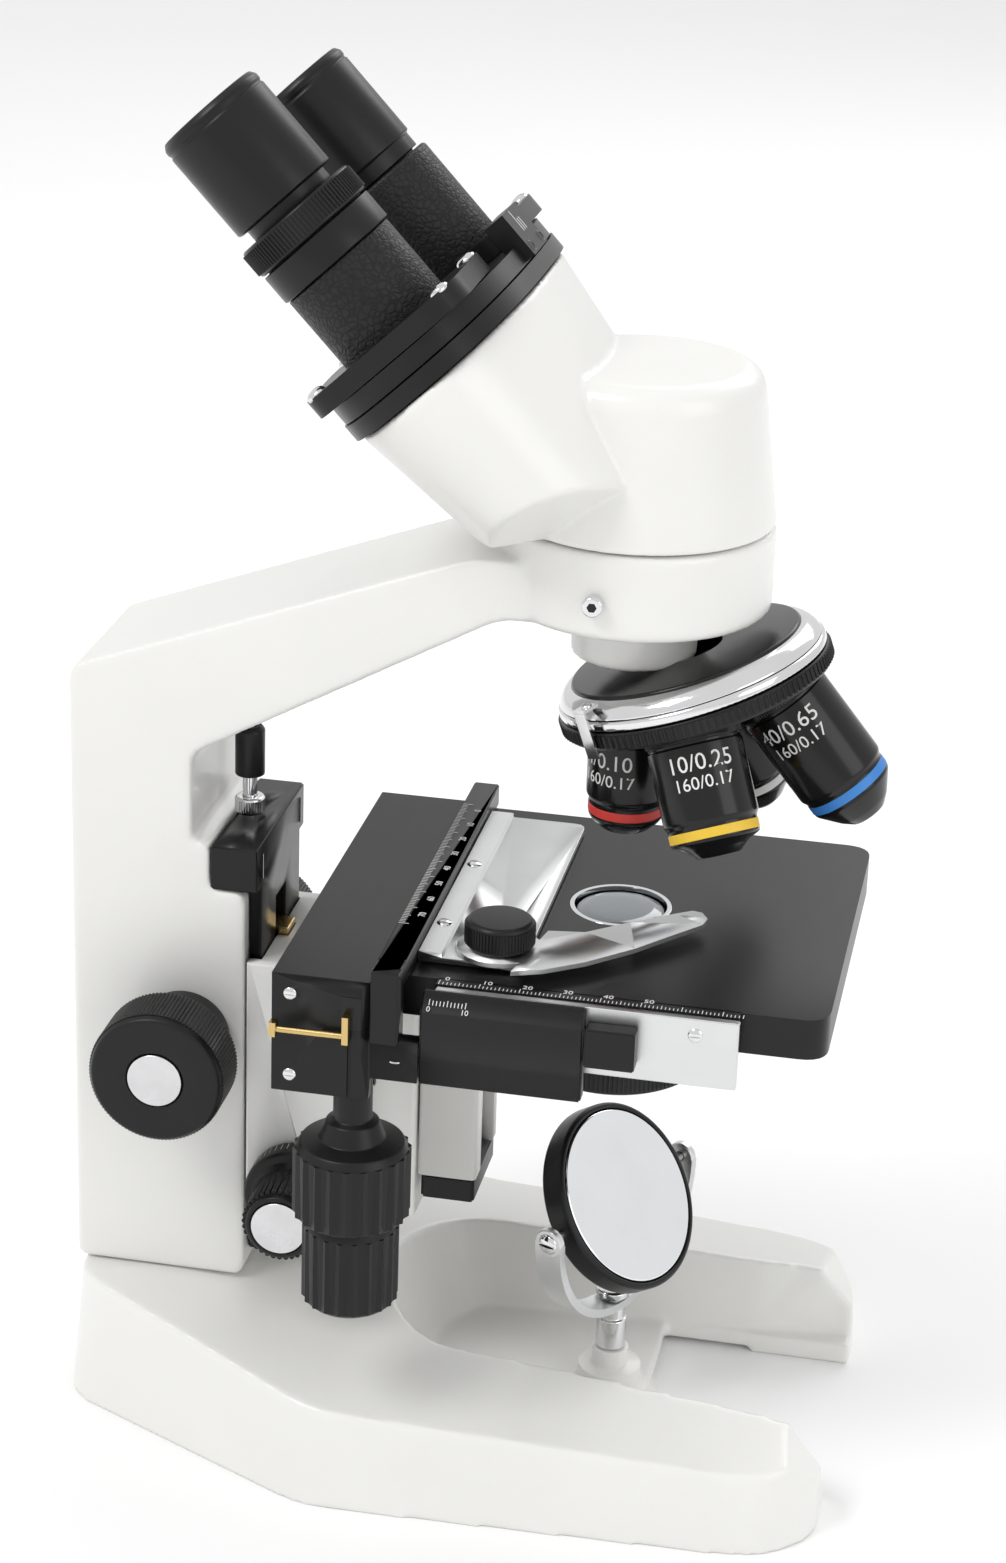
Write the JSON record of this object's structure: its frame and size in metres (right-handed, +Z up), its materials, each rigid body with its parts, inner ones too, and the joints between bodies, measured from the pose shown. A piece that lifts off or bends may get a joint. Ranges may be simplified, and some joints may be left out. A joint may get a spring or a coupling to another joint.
{
  "type": "binocular microscope",
  "caption": "Upright binocular microscope with inclined head, revolving objectives, mechanical stage, coaxial travel knobs and a tilting mirror on a forked foot.",
  "frame": {"origin": "on the floor plane directly under the optical axis, at the underside of the mirror boss pad", "axes": "+Z up along the optical axis, +X to the tips of the forked foot, +Y to the user's left"},
  "size_m": [0.2073, 0.1478, 0.3616],
  "materials": {
    "enamel": "white satin stove enamel with fine orange peel",
    "black_metal": "black satin anodised and crackle finish",
    "black_plastic": "black moulded plastic, satin",
    "leather_black": "black leather-grain lacquer",
    "chrome": "polished nickel chrome",
    "satin_steel": "brushed",
    "satin_aluminium": "satin turned",
    "brass": "bright",
    "optical_glass": "clear coated lens",
    "mirror": "front silvered"
  },
  "bodies": {
    "stand": {"base_casting": "enamel", "arm_casting": "enamel", "pillar_bolt_right": "satin_steel", "pillar_bolt_left": "satin_steel", "dovetail_rail": "black_metal", "tension_collar_right": "black_metal", "tension_collar_left": "black_metal", "nosepiece_cap": "black_metal", "turret_stud": "satin_steel", "head_lock_screw": "chrome", "stop_nut": "chrome", "stop_sleeve": "black_metal"},
    "stop": {"stop_screw": "chrome"},
    "coarse_drive": {"coarse_shaft": "satin_steel", "coarse_knob_right": "black_plastic", "coarse_knob_left": "black_plastic", "coarse_disc_right": "satin_aluminium", "coarse_disc_left": "satin_aluminium"},
    "focus_slide": {"stage_carrier": "enamel", "focus_rack": "brass"},
    "fine_drive": {"fine_shaft": "satin_steel", "fine_knob_right": "black_plastic", "fine_knob_left": "black_plastic", "fine_disc_right": "satin_aluminium", "fine_disc_left": "satin_aluminium"},
    "stage": {"stage_bracket": "enamel", "bracket_foot": "black_plastic", "stage_plate": "black_metal", "stage_rail": "satin_aluminium", "condenser_housing": "black_metal", "condenser_lens": "optical_glass"},
    "iris": {"iris_lever": "chrome"},
    "carriage": {"x_carriage": "black_metal", "vernier_block": "black_metal", "rail_end_block": "black_metal", "drive_rod": "brass"},
    "slide_holder": {"ruler_bar": "black_metal", "holder_plate": "satin_aluminium"},
    "finger": {"slide_finger": "satin_aluminium", "finger_knob": "black_plastic"},
    "x_knob": {"x_drive_knob": "black_plastic"},
    "y_knob": {"y_drive_knob": "black_plastic"},
    "nosepiece": {"turret": "black_metal", "turret_ring": "chrome", "objective_4x": "black_metal", "objective_10x": "black_metal", "objective_40x": "black_metal", "objective_100x": "black_metal"},
    "head": {"prism_housing": "enamel", "head_base_plate": "black_metal", "indicator_block": "black_plastic"},
    "right_tube": {"tube_right": "leather_black"},
    "left_tube": {"tube_left": "leather_black"},
    "diopter": {"diopter_ring": "black_metal"},
    "right_eyepiece": {"eyepiece_right": "black_metal"},
    "left_eyepiece": {"eyepiece_left": "black_metal"},
    "mirror_yoke": {"mirror_fork": "satin_aluminium", "mirror_post": "satin_steel"},
    "mirror": {"mirror_frame": "black_metal", "mirror_glass": "mirror"}
  },
  "joints": [
    {"name": "head_turn", "type": "hinge", "parent": "stand", "child": "head", "pos_m": [0, 0, 0.25], "axis": [0, 0, 1], "continuous": true},
    {"name": "right_tube_slide", "type": "slide", "parent": "head", "child": "right_tube", "axis": [0, 1, 0], "range_m": [-0.005, 0.005]},
    {"name": "left_tube_slide", "type": "slide", "parent": "head", "child": "left_tube", "axis": [0, 1, 0], "range_m": [-0.005, 0.005]},
    {"name": "right_eyepiece_focus", "type": "slide", "parent": "right_tube", "child": "right_eyepiece", "axis": [-0.6884, 0, 0.7254], "range_m": [-0.002, 0.003]},
    {"name": "diopter_turn", "type": "hinge", "parent": "right_tube", "child": "diopter", "pos_m": [-0.081, -0.032, 0.331], "axis": [-0.6884, 0, 0.7254], "range_deg": [-90, 120]},
    {"name": "left_eyepiece_pull", "type": "slide", "parent": "left_tube", "child": "left_eyepiece", "axis": [-0.6884, 0, 0.7254], "range_m": [0, 0.02]},
    {"name": "nosepiece_turn", "type": "hinge", "parent": "stand", "child": "nosepiece", "pos_m": [0.0134, 0, 0.2184], "axis": [0.3387, 0, -0.9409], "continuous": true},
    {"name": "focus_travel", "type": "slide", "parent": "stand", "child": "focus_slide", "axis": [0, 0, 1], "range_m": [-0.012, 0.003]},
    {"name": "coarse_turn", "type": "hinge", "parent": "stand", "child": "coarse_drive", "pos_m": [-0.1096, 0, 0.1095], "axis": [0, -1, 0], "range_deg": [-125, 40]},
    {"name": "fine_travel", "type": "slide", "parent": "focus_slide", "child": "stage", "axis": [0, 0, 1], "range_m": [-0.001, 0.001]},
    {"name": "fine_turn", "type": "hinge", "parent": "focus_slide", "child": "fine_drive", "pos_m": [-0.0786, 0, 0.0675], "axis": [0, -1, 0], "range_deg": [-190, 190]},
    {"name": "stop_travel", "type": "slide", "parent": "stand", "child": "stop", "axis": [0, 0, 1], "range_m": [-0.002, 0.002]},
    {"name": "iris_turn", "type": "hinge", "parent": "stage", "child": "iris", "pos_m": [0, 0, 0.1151], "axis": [0, 0, 1], "range_deg": [-8, 30]},
    {"name": "x_travel", "type": "slide", "parent": "stage", "child": "carriage", "axis": [1, 0, 0], "range_m": [-0.014, 0.01]},
    {"name": "x_knob_turn", "type": "hinge", "parent": "carriage", "child": "x_knob", "pos_m": [-0.0555, -0.063, 0.07], "axis": [0, 0, 1], "range_deg": [-110, 80]},
    {"name": "y_travel", "type": "slide", "parent": "carriage", "child": "slide_holder", "axis": [0, 1, 0], "range_m": [-0.025, 0.0015]},
    {"name": "y_knob_turn", "type": "hinge", "parent": "carriage", "child": "y_knob", "pos_m": [-0.0555, -0.063, 0.095], "axis": [0, 0, 1], "range_deg": [-190, 20]},
    {"name": "finger_swing", "type": "hinge", "parent": "slide_holder", "child": "finger", "pos_m": [-0.024, -0.041, 0.1516], "axis": [0, 0, -1], "range_deg": [0, 30], "stiffness_Nm_per_rad": 0.05, "springref_deg": -17.19},
    {"name": "mirror_yoke_turn", "type": "hinge", "parent": "stand", "child": "mirror_yoke", "pos_m": [0.003, 0.0008, 0.03], "axis": [0, 0, 1], "continuous": true},
    {"name": "mirror_tilt", "type": "hinge", "parent": "mirror_yoke", "child": "mirror", "pos_m": [0.003, 0.0008, 0.0623], "axis": [0.4274, 0.9041, 0], "continuous": true}
  ],
  "couplings": [
    {"joint": "left_tube_slide", "follows": "right_tube_slide", "ratio": -1},
    {"joint": "diopter_turn", "follows": "right_eyepiece_focus", "rad_per_m": 628.3},
    {"joint": "coarse_turn", "follows": "focus_travel", "rad_per_m": 170},
    {"joint": "fine_turn", "follows": "fine_travel", "rad_per_m": 3141.6},
    {"joint": "x_knob_turn", "follows": "x_travel", "rad_per_m": 125},
    {"joint": "y_knob_turn", "follows": "y_travel", "rad_per_m": 125}
  ]
}
